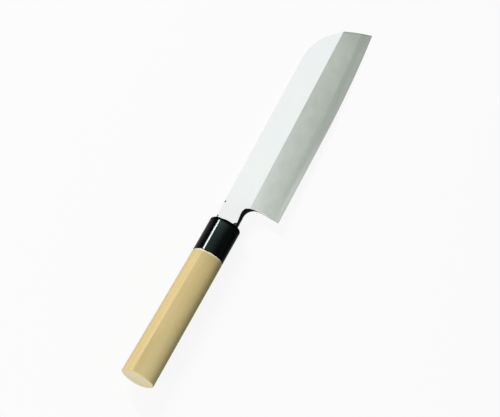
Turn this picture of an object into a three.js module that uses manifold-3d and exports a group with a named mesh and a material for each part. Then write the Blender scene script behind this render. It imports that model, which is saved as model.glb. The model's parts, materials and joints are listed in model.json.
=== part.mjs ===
// Kamagata usuba: a single-bevel vegetable knife with a sickle-shaped front, lying on its back.
// Blade of soft iron forge-welded to a hard edge steel, wooden grip with one ridge, black ferrule.
// Millimetres. The knife is drawn with +X from the ferrule's face to the tip along the spine,
// +Y to the spine and +Z out of the bevelled face, and is laid down on its back at the end.

import * as THREE from 'three';
import { mergeVertices } from 'three/addons/utils/BufferGeometryUtils.js';
import Module from 'manifold-3d';

// Blade outline
const EDGE_LENGTH = 173.4;
const NECK_LENGTH = 20.6;
const BLADE_HEIGHT = 40.9;
const SPINE_ABOVE_AXIS = 8.5;
const EDGE_FALL = 0.6;
const TIP_RISE = 3.6;
const STRAIGHT_SHARE = 0.49;
const SICKLE_LENGTH = 47;
const FRONT_LEAN = 8.2;
const FRONT_SWELL = 0.5;
const RIDGE_BELOW_SPINE = 18.3;
const RIDGE_CLIMB = 0.6;
const HEEL_LEAN = 1.4;
const NECK_HEIGHT = 16.9;
const CHOIL_RADIUS = 8.5;
const CHOIL_EASE = 2.1;

// Blade thickness
const SPINE_THICKNESS = 3.8;
const SPINE_THICKNESS_AT_TIP = 2.6;
const FLAT_FALL = 0.5;
const EDGE_THICKNESS = 0.25;
const STEEL_THICKNESS = 0.9;
const STEEL_PAST_HEEL = 7.8;
const WELD_GAP = 0.05;
const NECK_BACK_RELIEF = 0.3;
const HOLLOW_DEPTH = 0.25;
const HOLLOW_RIM = 3;
const BACK_BELOW_AXIS = 2;

// Tang
const TANG_LENGTH = 85;
const TANG_HEIGHT = 9.5;
const TANG_HEIGHT_AT_END = 4.5;
const TANG_THICKNESS = 3.0;
const TANG_THICKNESS_AT_END = 2.2;
const TANG_SHOULDER_GAP = 2;
const TANG_FIT = 0.3;

// Handle
const HANDLE_LENGTH = 133;
const FERRULE_LENGTH = 28;
const HANDLE_RISE = THREE.MathUtils.degToRad(1.5);
const HANDLE_HEIGHT = 23.5;
const HANDLE_HEIGHT_AT_BUTT = 24.6;
const RIDGE_DEPTH = 8.8;
const RIDGE_DEPTH_AT_BUTT = 11;
const BACK_DEPTH = 9;
const BACK_DEPTH_AT_BUTT = 10.5;
const RIDGE_SHARE = 0.37;
const UPPER_FACET_SWELL = 0.5;
const LOWER_FACET_SWELL = 0.95;
const LOWER_FACET_SWELL_AT_BUTT = 0.75;
const BUTT_EASE = 1.2;
const FERRULE_EASE = 2.2;
const TENON_DIAMETER = 13;
const TENON_FIT = 0.15;
const TENON_RECESS = 0.8;
const GLUE_LINE = 0.1;

// Fineness of the curves
const EDGE_STEPS = 28;
const SICKLE_STEPS = 18;
const FRONT_STEPS = 6;
const CHOIL_STEPS = 10;
const UPPER_FACET_STEPS = 8;
const LOWER_FACET_STEPS = 14;
const BACK_STEPS = 20;
const TENON_STEPS = 40;
const HOLLOW_STEPS_ALONG = 20;
const HOLLOW_STEPS_ACROSS = 8;
const CLEAR = 10;

// Places that follow from the sizes
const heelX = NECK_LENGTH;
const tipX = heelX + EDGE_LENGTH;
const spineY = SPINE_ABOVE_AXIS;
const heelY = spineY - BLADE_HEIGHT;
const turnX = heelX + EDGE_LENGTH * STRAIGHT_SHARE;
const backZ = -BACK_BELOW_AXIS;
const weldZ = backZ + STEEL_THICKNESS;
const steelStartX = heelX - STEEL_PAST_HEEL;
const neckY = spineY - NECK_HEIGHT;
const shoulderX = tipX - FRONT_LEAN;

const lerp = THREE.MathUtils.lerp;

// Height of the cutting edge: straight from the heel, then a slow curve up to the tip
function edgeY(x) {
  const fall = EDGE_FALL * (x - heelX) / (turnX - heelX);
  const past = Math.max(0, (x - turnX) / (tipX - turnX));
  return heelY - Math.min(fall, EDGE_FALL) + TIP_RISE * past * past;
}

// Height of the line where the bevel starts
function bevelLineY(x) {
  const along = (x - heelX) / (shoulderX - heelX);
  return spineY - RIDGE_BELOW_SPINE + RIDGE_CLIMB * along;
}

// Level of the flat upper face, a plane that thins towards the tip and towards the bevel
function flatZ(x, y) {
  const along = (x - heelX) / EDGE_LENGTH;
  const across = (spineY - y) / RIDGE_BELOW_SPINE;
  return backZ + lerp(SPINE_THICKNESS, SPINE_THICKNESS_AT_TIP, along) - FLAT_FALL * across;
}

const tip = new THREE.Vector2(tipX, edgeY(tipX));
const shoulder = new THREE.Vector2(shoulderX, bevelLineY(shoulderX));
const crown = new THREE.Vector2(tipX - SICKLE_LENGTH, spineY);
const sickle = new THREE.CubicBezierCurve(
  shoulder,
  new THREE.Vector2(lerp(shoulder.x, crown.x, 0.27), lerp(shoulder.y, crown.y, 0.59)),
  new THREE.Vector2(lerp(shoulder.x, crown.x, 0.46), crown.y),
  crown,
).getPoints(SICKLE_STEPS);

// Outline of the blade and neck, anticlockwise from the heel corner
function bladeOutline() {
  const points = [];
  for (let i = 0; i <= EDGE_STEPS; i++) {
    const x = lerp(heelX - HEEL_LEAN / 2, tipX, i / EDGE_STEPS);
    points.push(new THREE.Vector2(x, edgeY(x)));
  }
  const across = new THREE.Vector2().subVectors(shoulder, tip).normalize();
  const frontMiddle = new THREE.Vector2().addVectors(tip, shoulder).multiplyScalar(0.5);
  frontMiddle.x += across.y * FRONT_SWELL * 2;
  frontMiddle.y -= across.x * FRONT_SWELL * 2;
  const front = new THREE.QuadraticBezierCurve(tip, frontMiddle, shoulder).getPoints(FRONT_STEPS);
  points.push(...front.slice(1), ...sickle.slice(1));
  points.push(new THREE.Vector2(TANG_SHOULDER_GAP, spineY));
  points.push(new THREE.Vector2(TANG_SHOULDER_GAP, neckY));
  points.push(...choilArc(0, 0));
  return points;
}

// Hollow corner between the neck and the heel
function choilArc(shiftX, shiftY) {
  const centre = new THREE.Vector2(heelX + HEEL_LEAN / 2 - CHOIL_RADIUS + shiftX, neckY - CHOIL_RADIUS + shiftY);
  const points = [];
  for (let i = 0; i <= CHOIL_STEPS; i++) {
    const turn = Math.PI / 2 * (1 - i / CHOIL_STEPS);
    points.push(new THREE.Vector2(
      centre.x + CHOIL_RADIUS * Math.cos(turn),
      centre.y + CHOIL_RADIUS * Math.sin(turn),
    ));
  }
  return points;
}

const wasm = await Module();
wasm.setup();

// Closed mesh to solid
function solid(geometry) {
  const bare = geometry.clone();
  bare.deleteAttribute('normal');
  bare.deleteAttribute('uv');
  const merged = mergeVertices(bare, 1e-5);
  const index = merged.index.array;
  const triangles = [];
  for (let i = 0; i < index.length; i += 3) {
    const [a, b, c] = [index[i], index[i + 1], index[i + 2]];
    if (a !== b && b !== c && c !== a) triangles.push(a, b, c);
  }
  const mesh = new wasm.Mesh({
    numProp: 3,
    vertProperties: new Float32Array(merged.attributes.position.array),
    triVerts: new Uint32Array(triangles),
  });
  return new wasm.Manifold(mesh);
}

// Solid back to a named mesh
function piece(name, body, colour, roughness, metalness) {
  const cut = body.getMesh();
  const geometry = new THREE.BufferGeometry();
  geometry.setAttribute('position', new THREE.BufferAttribute(new Float32Array(cut.vertProperties), 3));
  geometry.setIndex(new THREE.BufferAttribute(new Uint32Array(cut.triVerts), 1));
  geometry.computeVertexNormals();
  const material = new THREE.MeshStandardMaterial({ color: colour, roughness, metalness });
  const mesh = new THREE.Mesh(geometry, material);
  mesh.name = name;
  return mesh;
}

// Move every vertex of a geometry to the place that a function gives
function shaped(geometry, place) {
  const position = geometry.attributes.position;
  for (let i = 0; i < position.count; i++) {
    const moved = place(position.getX(i), position.getY(i), position.getZ(i), i);
    position.setXYZ(i, moved.x, moved.y, moved.z);
  }
  return geometry;
}

// Flat plate with an outline, between two levels
function plate(points, low, high) {
  const geometry = new THREE.ExtrudeGeometry(new THREE.Shape(points), { depth: high - low, bevelEnabled: false });
  return solid(geometry.translate(0, 0, low));
}

// Plain block between two corners
function block(low, high) {
  const size = new THREE.Vector3().subVectors(high, low);
  const geometry = new THREE.BoxGeometry(size.x, size.y, size.z);
  return solid(geometry.translate((low.x + high.x) / 2, (low.y + high.y) / 2, (low.z + high.z) / 2));
}

// Everything above the flat upper face
function flatGrind() {
  const geometry = new THREE.BoxGeometry(1, 1, 1);
  return solid(shaped(geometry, (u, v, w) => {
    const x = u < 0 ? -CLEAR : tipX + CLEAR;
    const y = v < 0 ? heelY - CLEAR : spineY + CLEAR;
    return new THREE.Vector3(x, y, w < 0 ? flatZ(x, y) : SPINE_THICKNESS + CLEAR);
  }));
}

// Everything above the bevel, a ruled face from the bevel line down to the curved edge
function bevelGrind() {
  const geometry = new THREE.BoxGeometry(1, 1, 1, EDGE_STEPS, 1, 1);
  const startX = heelX - CLEAR;
  return solid(shaped(geometry, (u, v, w) => {
    const x = lerp(startX, tipX + CLEAR, u + 0.5);
    const lineY = bevelLineY(x);
    const lineZ = flatZ(x, lineY);
    const reach = v < 0 ? 1.5 : -0.2;
    const y = lerp(lineY, edgeY(x), reach);
    const z = lerp(lineZ, backZ + EDGE_THICKNESS, reach);
    return new THREE.Vector3(x, y, w < 0 ? z : SPINE_THICKNESS + CLEAR);
  }));
}

// The eased corner under the neck, which fades out around the choil
function choilEase() {
  const points = choilArc(-CHOIL_EASE / 2, 0);
  const low = points[points.length - 1];
  points.push(new THREE.Vector2(low.x, heelY));
  points.push(new THREE.Vector2(-CLEAR, heelY));
  points.push(new THREE.Vector2(-CLEAR, neckY));
  const geometry = new THREE.ExtrudeGeometry(new THREE.Shape(points), {
    depth: CLEAR,
    bevelThickness: CHOIL_EASE,
    bevelSize: CHOIL_EASE,
    bevelSegments: 1,
  });
  return solid(geometry.translate(0, 0, flatZ(heelX, neckY)));
}

// Shallow hollow in the back, which runs out to nothing at a flat rim
function backHollow() {
  const geometry = new THREE.BoxGeometry(1, 1, 1, HOLLOW_STEPS_ALONG, HOLLOW_STEPS_ACROSS, 1);
  const startX = heelX + HOLLOW_RIM;
  const endX = shoulderX - HOLLOW_RIM * 2;
  return solid(shaped(geometry, (u, v, w) => {
    const x = lerp(startX, endX, u + 0.5);
    const low = edgeY(x) + HOLLOW_RIM;
    const high = upperY(x) - HOLLOW_RIM;
    const y = lerp(low, high, v + 0.5);
    const bowl = (1 - 4 * v * v) * (1 - Math.pow(2 * u, 6));
    return new THREE.Vector3(x, y, w < 0 ? backZ - CLEAR : backZ - 0.02 + (HOLLOW_DEPTH + 0.02) * bowl);
  }));
}

// Height of the upper outline: the spine, then the sickle
function upperY(x) {
  if (x <= crown.x) return spineY;
  const next = sickle.findIndex((point) => point.x <= x);
  const a = sickle[next];
  const b = sickle[next - 1];
  return lerp(a.y, b.y, (x - a.x) / (b.x - a.x));
}

// Bar along the handle's axis that narrows towards the butt
function taperedBar(frontX, endX, spare) {
  const geometry = new THREE.BoxGeometry(1, 1, 1);
  shaped(geometry, (u, v, w) => {
    const x = u < 0 ? endX : frontX;
    const along = -x / TANG_LENGTH;
    const height = lerp(TANG_HEIGHT, TANG_HEIGHT_AT_END, along) + spare * 2;
    const thickness = lerp(TANG_THICKNESS, TANG_THICKNESS_AT_END, along) + spare * 2;
    return new THREE.Vector3(x, v * height, w * thickness);
  });
  return geometry;
}

// One point of the handle's section, at a place along the handle, counted round from the spine side
const SECTION_STEPS = UPPER_FACET_STEPS + LOWER_FACET_STEPS + BACK_STEPS;
function sectionPoint(step, x) {
  const along = -x / HANDLE_LENGTH;
  const half = lerp(HANDLE_HEIGHT, HANDLE_HEIGHT_AT_BUTT, along) / 2;
  const ridge = new THREE.Vector2(half * RIDGE_SHARE, lerp(RIDGE_DEPTH, RIDGE_DEPTH_AT_BUTT, along));
  const top = new THREE.Vector2(half, 0);
  const bottom = new THREE.Vector2(-half, 0);
  if (step <= UPPER_FACET_STEPS) {
    const bend = new THREE.Vector2(half, ridge.y * UPPER_FACET_SWELL);
    return new THREE.QuadraticBezierCurve(top, bend, ridge).getPoint(step / UPPER_FACET_STEPS);
  }
  if (step <= UPPER_FACET_STEPS + LOWER_FACET_STEPS) {
    const swell = lerp(LOWER_FACET_SWELL, LOWER_FACET_SWELL_AT_BUTT, along);
    const bend = new THREE.Vector2(-half, ridge.y * swell);
    const share = (step - UPPER_FACET_STEPS) / LOWER_FACET_STEPS;
    return new THREE.QuadraticBezierCurve(ridge, bend, bottom).getPoint(share);
  }
  const turn = Math.PI * (step - UPPER_FACET_STEPS - LOWER_FACET_STEPS) / BACK_STEPS;
  const depth = lerp(BACK_DEPTH, BACK_DEPTH_AT_BUTT, along);
  return new THREE.Vector2(-half * Math.cos(turn), -depth * Math.sin(turn));
}

// Turned blank drawn out to the handle's section: a profile of [reach from the axis, place along it]
function handleBlank(profile) {
  const turned = profile.map(([reach, x]) => new THREE.Vector2(reach, x));
  const geometry = new THREE.LatheGeometry(turned, SECTION_STEPS);
  return solid(shaped(geometry, (u, v, w, i) => {
    const [reach, x] = profile[i % profile.length];
    const step = Math.floor(i / profile.length) % SECTION_STEPS;
    const point = sectionPoint(step, x);
    return new THREE.Vector3(x, point.x * reach, point.y * reach);
  }));
}

// Round bar along the handle's axis
function roundBar(radius, fromX, toX) {
  const geometry = new THREE.CylinderGeometry(radius, radius, toX - fromX, TENON_STEPS);
  return solid(geometry.rotateZ(-Math.PI / 2).translate((fromX + toX) / 2, 0, 0));
}

// Blade body: soft iron with the neck and the tang
const outline = bladeOutline();
const topZ = flatZ(-CLEAR, spineY + CLEAR) + 1;
const steelPocket = block(
  new THREE.Vector3(steelStartX - WELD_GAP, heelY - CLEAR, backZ - CLEAR),
  new THREE.Vector3(tipX + CLEAR, spineY + CLEAR, weldZ + WELD_GAP),
);
const tang = taperedBar(TANG_SHOULDER_GAP + 1, -TANG_LENGTH, 0).rotateZ(-HANDLE_RISE);
const bladeBody = plate(outline, backZ + NECK_BACK_RELIEF, topZ)
  .subtract(steelPocket)
  .subtract(flatGrind())
  .subtract(bevelGrind())
  .subtract(choilEase())
  .add(solid(tang));

// Edge steel: the back of the blade and the cutting edge
const steelBlock = block(
  new THREE.Vector3(steelStartX, heelY - CLEAR, backZ),
  new THREE.Vector3(tipX + CLEAR, spineY + CLEAR, weldZ),
);
const edgeSteel = plate(outline, backZ, topZ)
  .intersect(steelBlock)
  .subtract(bevelGrind())
  .subtract(backHollow());

// Grip: wood with a tenon in front and a bore for the tang
const buttReach = 1 - BUTT_EASE * 2 / HANDLE_HEIGHT_AT_BUTT;
const tenonRadius = TENON_DIAMETER / 2;
const grip = handleBlank([
  [0, -HANDLE_LENGTH],
  [buttReach, -HANDLE_LENGTH],
  [1, -HANDLE_LENGTH + BUTT_EASE],
  [1, -FERRULE_LENGTH],
  [0, -FERRULE_LENGTH],
])
  .add(roundBar(tenonRadius, -FERRULE_LENGTH - 1, -TENON_RECESS))
  .subtract(solid(taperedBar(CLEAR, -TANG_LENGTH - TANG_FIT * 10, TANG_FIT)));

// Ferrule: collar on the tenon with a rounded front
const frontReach = 1 - FERRULE_EASE * 2 / HANDLE_HEIGHT;
const ferrule = handleBlank([
  [0, -FERRULE_LENGTH + GLUE_LINE],
  [1, -FERRULE_LENGTH + GLUE_LINE],
  [1, -FERRULE_EASE],
  [lerp(frontReach, 1, 0.87), -FERRULE_EASE / 2],
  [lerp(frontReach, 1, 0.5), -FERRULE_EASE * 0.13],
  [frontReach, 0],
  [0, 0],
]).subtract(roundBar(tenonRadius + TENON_FIT, -FERRULE_LENGTH - CLEAR, CLEAR));

const handle = new THREE.Group();
handle.rotation.z = -HANDLE_RISE;
handle.add(piece('handle_grip', grip, 0xd9c08a, 0.62, 0));
handle.add(piece('ferrule', ferrule, 0x15181a, 0.12, 0));

const knife = new THREE.Group();
knife.add(piece('blade_body', bladeBody, 0xd5dad8, 0.28, 1));
knife.add(piece('edge_steel', edgeSteel, 0xb9c2bb, 0.35, 1));
knife.add(handle);

// Lay the knife down: it rests on the front of the blade and on the lowest corner of the handle
function restingTilt() {
  knife.updateMatrixWorld(true);
  const low = new THREE.Vector3(tip.x, tip.y, backZ);
  const high = new THREE.Vector3(shoulder.x, shoulder.y, backZ);
  const line = new THREE.Vector3().subVectors(high, low).normalize();
  const toHandle = new THREE.Vector3(-line.y, line.x, 0);
  let steepest = 0;
  for (const mesh of handle.children) {
    const position = mesh.geometry.attributes.position;
    const corner = new THREE.Vector3();
    for (let i = 0; i < position.count; i++) {
      corner.fromBufferAttribute(position, i).applyMatrix4(mesh.matrixWorld).sub(low);
      steepest = Math.max(steepest, -corner.z / corner.dot(toHandle));
    }
  }
  const upright = new THREE.Vector3(toHandle.x * steepest, toHandle.y * steepest, 1).normalize();
  return new THREE.Quaternion().setFromUnitVectors(upright, new THREE.Vector3(0, 0, 1));
}
knife.quaternion.copy(restingTilt());

// Origin on the table, under the middle of the knife
const part = new THREE.Group();
part.add(knife);
part.updateMatrixWorld(true);
const box = new THREE.Box3().setFromObject(part, true);
const middle = box.getCenter(new THREE.Vector3());
knife.position.set(-middle.x, -middle.y, -box.min.z);

export default part;
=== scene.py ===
import json
import math

import bmesh
import bpy
from mathutils import Matrix, Vector
from mathutils.geometry import interpolate_bezier


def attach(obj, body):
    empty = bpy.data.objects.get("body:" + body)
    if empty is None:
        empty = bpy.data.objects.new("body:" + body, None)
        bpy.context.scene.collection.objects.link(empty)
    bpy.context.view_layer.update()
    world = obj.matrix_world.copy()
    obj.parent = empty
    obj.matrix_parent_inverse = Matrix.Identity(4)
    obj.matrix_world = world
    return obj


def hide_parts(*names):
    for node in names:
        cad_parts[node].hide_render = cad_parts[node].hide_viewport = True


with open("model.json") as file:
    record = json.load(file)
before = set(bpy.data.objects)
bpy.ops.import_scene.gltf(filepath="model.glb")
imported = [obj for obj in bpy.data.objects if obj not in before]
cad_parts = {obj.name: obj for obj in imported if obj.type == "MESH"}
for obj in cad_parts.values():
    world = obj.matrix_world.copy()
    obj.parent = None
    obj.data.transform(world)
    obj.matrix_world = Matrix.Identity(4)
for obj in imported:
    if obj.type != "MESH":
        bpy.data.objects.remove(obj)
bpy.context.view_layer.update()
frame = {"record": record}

# Blade body: the soft iron of the blade, with its neck and the tang that goes into the handle.
# One forging, ground to a polished flat along the spine and to a hazy bevel below it. The
# underside of the neck is painted black, a painted dark reflection on its rounded edge.

# The knife is drawn in millimetres, +x along the spine to the tip, +y to the spine and +z out of
# the bevelled face, and is then laid down as the mount on its back says.
back_mount = next(m for m in frame["record"]["mounts"] if m["name"] == "blade_back")
MOUNT_ON_BLADE = Vector((0.060, 0.007, -0.002))
tilt = Vector((0, 0, 1)).rotation_difference(-Vector(back_mount["axis"]))
seat = Vector(back_mount["pos_m"]) - tilt @ MOUNT_ON_BLADE
lay_blade = Matrix.Translation(seat) @ tilt.to_matrix().to_4x4() @ Matrix.Scale(0.001, 4)

NECK_START = 2.0
HEEL_X = 20.6
TIP_X = 194.0
TURN_X = HEEL_X + 0.49 * (TIP_X - HEEL_X)
SHOULDER_X = 185.8
CROWN_X = 147.0
SPINE_Y = 8.5
HEEL_Y = -32.4
NECK_Y = -8.4
EDGE_FALL = 0.6
TIP_RISE = 3.6
FRONT_SWELL = 0.5
HEEL_LEAN = 1.4
CHOIL_RADIUS = 8.5
CHOIL_X = HEEL_X + HEEL_LEAN / 2 - CHOIL_RADIUS
CHOIL_Y = NECK_Y - CHOIL_RADIUS
BEVEL_BELOW_SPINE = 18.3
BEVEL_CLIMB = 0.6
BACK_Z = -2.0
WELD_Z = -1.1
NECK_BACK_Z = -1.7
SPINE_THICK = 3.8
SPINE_THICK_AT_TIP = 2.6
FLAT_FALL = 0.5
EDGE_LAND = 0.12
KEEN_LAND = 0.03
KEEN_HEIGHT = 0.8
NECK_ROUND = (1.7, 2.7)
NECK_FALL = 2.1
ROUND_RUNS_OUT = (0.35, 0.71)
ROUND_LEFT = 0.05
ROUND_TO_LINE = 0.15
NECK_BACK_ROUND = 0.7
SPINE_CHAMFER = 0.3
CHAMFER_SHARE = 0.4
WELD_WAVES = ((0.2, 0.21, 0.8), (0.15, 0.093, 0.0))
SICKLE_LEAVES = 0.46
SICKLE_ARRIVES = (0.27, 0.59)


def blend(a, b, share):
    return a + (b - a) * share


def edge_y(x):
    fall = EDGE_FALL * min(1, (x - HEEL_X) / (TURN_X - HEEL_X))
    past = max(0, (x - TURN_X) / (TIP_X - TURN_X))
    return HEEL_Y - fall + TIP_RISE * past * past


def bevel_line_y(x):
    climb = BEVEL_CLIMB * (x - HEEL_X) / (SHOULDER_X - HEEL_X)
    return SPINE_Y - BEVEL_BELOW_SPINE + climb


def flat_z(x, y):
    thick = blend(SPINE_THICK, SPINE_THICK_AT_TIP, (x - HEEL_X) / (TIP_X - HEEL_X))
    return BACK_Z + thick - FLAT_FALL * (SPINE_Y - y) / BEVEL_BELOW_SPINE


def bevel_z(x, y):
    line = bevel_line_y(x)
    return blend(flat_z(x, line), BACK_Z + EDGE_LAND, (line - y) / (line - edge_y(x)))


def weld_y(x):
    # where the weld comes out on the bevel, wandering a little as forged
    line = bevel_line_y(x)
    high = flat_z(x, line)
    share = (high - WELD_Z) / (high - BACK_Z - EDGE_LAND)
    wander = sum(rise * math.sin(x * turn + start) for rise, turn, start in WELD_WAVES)
    return blend(line, edge_y(x), share) + wander


def round_over(inset, radius):
    # how far a rounded edge falls away, at a distance in from it
    if inset >= radius:
        return 0
    return radius - math.sqrt(radius ** 2 - (radius - max(0, inset)) ** 2)


# Lines across the blade: place along it, lowest and highest point of the outline there
tip = Vector((TIP_X, edge_y(TIP_X), 0))
shoulder = Vector((SHOULDER_X, bevel_line_y(SHOULDER_X), 0))
crown = Vector((CROWN_X, SPINE_Y, 0))
SICKLE_POINTS, FRONT_POINTS = 26, 14
arrives_x, arrives_y = SICKLE_ARRIVES
sickle = interpolate_bezier(
    crown,
    Vector((blend(shoulder.x, crown.x, SICKLE_LEAVES), crown.y, 0)),
    Vector((blend(shoulder.x, crown.x, arrives_x), blend(shoulder.y, crown.y, arrives_y), 0)),
    shoulder,
    SICKLE_POINTS,
)

# The front is a shallow parabola, bowed out by its swell
up_front = (shoulder - tip).normalized()
out_of_front = Vector((up_front.y, -up_front.x, 0))
front_middle = (tip + shoulder) / 2 + out_of_front * FRONT_SWELL * 2
front = interpolate_bezier(
    shoulder,
    shoulder.lerp(front_middle, 2 / 3),
    tip.lerp(front_middle, 2 / 3),
    tip,
    FRONT_POINTS,
)
NECK_LINES, CHOIL_LINES, STRAIGHT_LINES = 4, 15, 50
lines = []
for i in range(NECK_LINES + 1):
    lines.append((blend(NECK_START, CHOIL_X, i / NECK_LINES), NECK_Y, SPINE_Y))
steel_line = len(lines)
for i in range(CHOIL_LINES + 1):
    turn = math.pi / 2 * i / CHOIL_LINES
    x = CHOIL_X + CHOIL_RADIUS * math.sin(turn)
    y = CHOIL_Y + CHOIL_RADIUS * math.cos(turn)
    lines.append((x, y, SPINE_Y))
heel_line = len(lines) - 1
heel_top_x = lines[heel_line][0]
lines[heel_line] = (heel_top_x, edge_y(HEEL_X - HEEL_LEAN / 2), SPINE_Y)
for i in range(1, STRAIGHT_LINES):
    x = blend(heel_top_x, CROWN_X, i / STRAIGHT_LINES)
    lines.append((x, edge_y(x), SPINE_Y))
lines += [(p.x, edge_y(p.x), p.y) for p in [*sickle, *front[1:]]]

# The iron ends where the weld meets the front, and the nearest line is moved to that point
iron_end = next(
    i for i, (x, low, high) in enumerate(lines) if i > heel_line and weld_y(x) >= high
)
last_x, next_x = lines[iron_end - 1][0], lines[iron_end][0]
iron_left = lines[iron_end - 1][2] - weld_y(last_x)
iron_past = weld_y(next_x) - lines[iron_end][2]
share = iron_left / (iron_left + iron_past)
if share < 0.5:
    iron_end -= 1
meeting_x = blend(last_x, next_x, share)
lines[iron_end] = (meeting_x, edge_y(meeting_x), weld_y(meeting_x))

# Rows along the blade, counted up from the cutting edge
WELD_ROW = 4
CHOIL_ROW = 10
ROUNDED_ROWS = 6
BEVEL_ROW = CHOIL_ROW + ROUNDED_ROWS + 2
FLAT_ROWS = 5
SPINE_ROW = BEVEL_ROW + FLAT_ROWS + 1


def around_choil(line):
    return max(0, line - steel_line) / (heel_line - steel_line)


def neck_round(line):
    # the rounded underside of the neck widens towards the choil and runs out around it
    along = min(1, (lines[line][0] - NECK_START) / (CHOIL_X - NECK_START))
    starts, ends = ROUND_RUNS_OUT
    out = min(1, max(0, (around_choil(line) - starts) / (ends - starts)))
    return blend(blend(*NECK_ROUND, along), ROUND_LEFT, out * out * (3 - 2 * out))


def in_from_neck(x, y):
    if x <= CHOIL_X:
        return y - NECK_Y
    return math.hypot(x - CHOIL_X, y - CHOIL_Y) - CHOIL_RADIUS


def neck_rows(line):
    # heights of the rows from the underside of the neck up to the bevel's upper line
    x = lines[line][0]
    radius = neck_round(line)
    last = max(radius + ROUND_TO_LINE, in_from_neck(x, bevel_line_y(x)))
    insets = [radius * i / ROUNDED_ROWS for i in range(ROUNDED_ROWS + 1)]
    insets += [(radius + last) / 2, last]
    if x <= CHOIL_X:
        return [NECK_Y + inset for inset in insets]
    return [
        CHOIL_Y + math.sqrt(max(0, (CHOIL_RADIUS + inset) ** 2 - (x - CHOIL_X) ** 2))
        for inset in insets
    ]


def row_heights(line):
    x, low, high = lines[line]
    if line < heel_line:
        rows = [low] * CHOIL_ROW + neck_rows(line)
    else:
        heel_rows = neck_rows(heel_line)
        heel_weld = weld_y(heel_top_x)
        weld = min(weld_y(x), high)
        bevel = max(weld, min(bevel_line_y(x), high))
        choil = blend(weld, bevel, (heel_rows[0] - heel_weld) / (heel_rows[-1] - heel_weld))
        steps = CHOIL_ROW - WELD_ROW
        keen = low + min(KEEN_HEIGHT, (weld - low) / WELD_ROW)
        rows = [low]
        rows += [blend(keen, weld, i / (WELD_ROW - 1)) for i in range(WELD_ROW - 1)]
        rows += [blend(weld, choil, i / steps) for i in range(steps)]
        for y in heel_rows:
            share = (y - heel_rows[0]) / (heel_rows[-1] - heel_rows[0])
            rows.append(blend(choil, bevel, share))
    start = rows[-1]
    chamfer = spine_chamfer(start, high)
    rows += [blend(start, high - chamfer, i / FLAT_ROWS) for i in range(1, FLAT_ROWS + 1)]
    rows.append(high)
    return rows


def spine_chamfer(start, high):
    return min(SPINE_CHAMFER, (high - start) * CHAMFER_SHARE)


heights = [row_heights(line) for line in range(len(lines))]


def in_plan(line, row):
    # place of a grid point seen from above, with the lean of the heel
    x, y = lines[line][0], heights[line][row]
    if line == heel_line and y < CHOIL_Y:
        x -= HEEL_LEAN * (CHOIL_Y - y) / (CHOIL_Y - HEEL_Y)
    return x, y


def ground_level(line, row):
    # level of the flat and the bevel
    x, y = in_plan(line, row)
    if row == 0:
        return BACK_Z + KEEN_LAND
    level = min(flat_z(x, y), bevel_z(x, y))
    if line <= heel_line and row >= CHOIL_ROW:
        radius = neck_round(line)
        level -= round_over(in_from_neck(x, y), radius) * min(1, NECK_FALL / radius)
    if row == SPINE_ROW:
        level -= spine_chamfer(heights[line][BEVEL_ROW], lines[line][2])
    return level


def weld_level(line, row):
    # level of the weld, which ends where it comes out on the bevel
    level = ground_level(line, row)
    if line >= heel_line and row <= WELD_ROW:
        return level
    return min(WELD_Z, level)


def iron_underside(line, row):
    if line >= steel_line:
        return weld_level(line, row)
    return NECK_BACK_Z + round_over(heights[line][row] - NECK_Y, NECK_BACK_ROUND)


def front_gap(x, y):
    # distance in from the front, which is a little bowed
    from_tip = Vector((x, y, 0)) - tip
    share = min(1, max(0, from_tip.dot(up_front) / (shoulder - tip).length))
    return FRONT_SWELL * 4 * share * (1 - share) - from_tip.dot(out_of_front)


def blade_plate(first_line, last_line, first_row, upper, lower, skins):
    # a grid drawn to the outline of the blade, with its upper and lower sides at given levels,
    # and a number for the finish of each kind of face
    plate = bmesh.new()
    line_no = plate.verts.layers.int.new("line")
    row_no = plate.verts.layers.int.new("row")
    side_no = plate.verts.layers.int.new("side")
    above_edge = plate.verts.layers.float.new("above_edge")
    behind_front = plate.verts.layers.float.new("behind_front")
    across_lines = last_line - first_line
    across_rows = SPINE_ROW - first_row
    bmesh.ops.create_grid(plate, x_segments=across_lines, y_segments=across_rows, size=1)
    for v in plate.verts:
        v[line_no] = first_line + round((v.co.x + 1) / 2 * across_lines)
        v[row_no] = first_row + round((v.co.y + 1) / 2 * across_rows)
    open_corner = [
        f for f in plate.faces
        if max(v[line_no] for v in f.verts) <= heel_line
        and max(v[row_no] for v in f.verts) <= CHOIL_ROW
    ]
    bmesh.ops.delete(plate, geom=open_corner, context="FACES")
    made = bmesh.ops.extrude_face_region(plate, geom=plate.faces[:])["geom"]
    for v in made:
        if isinstance(v, bmesh.types.BMVert):
            v[side_no] = 1
    for v in plate.verts:
        x, y = in_plan(v[line_no], v[row_no])
        level = lower if v[side_no] else upper
        v.co = (x, y, level(v[line_no], v[row_no]))
        v[above_edge] = y - edge_y(x)
        v[behind_front] = front_gap(x, y)
    for f in plate.faces:
        sides = {v[side_no] for v in f.verts}
        top_row = max(v[row_no] for v in f.verts)
        middle = f.calc_center_median()
        by_neck = max(v[line_no] for v in f.verts) <= heel_line
        # faces round the neck's underside take the painted dark reflection
        if len(sides) == 2:
            skin = "dark_painted" if by_neck and top_row == CHOIL_ROW else "wall"
        elif sides == {1}:
            skin = "under"
        elif by_neck and top_row <= CHOIL_ROW + ROUNDED_ROWS:
            skin = "dark_painted"
        elif top_row == 1:
            skin = "keen"
        elif top_row > BEVEL_ROW or by_neck and middle.y > bevel_line_y(middle.x):
            skin = "flat"
        else:
            skin = "bevel"
        f.material_index = skins[skin]
    for e in plate.edges:
        rows = {v[row_no] for v in e.verts if not v[side_no]}
        past_heel = max(v[line_no] for v in e.verts) > heel_line
        e.smooth = not (past_heel and rows in ({1}, {BEVEL_ROW}))
    close_up(plate)
    return plate


MERGE_WITHIN = 1e-4


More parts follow.
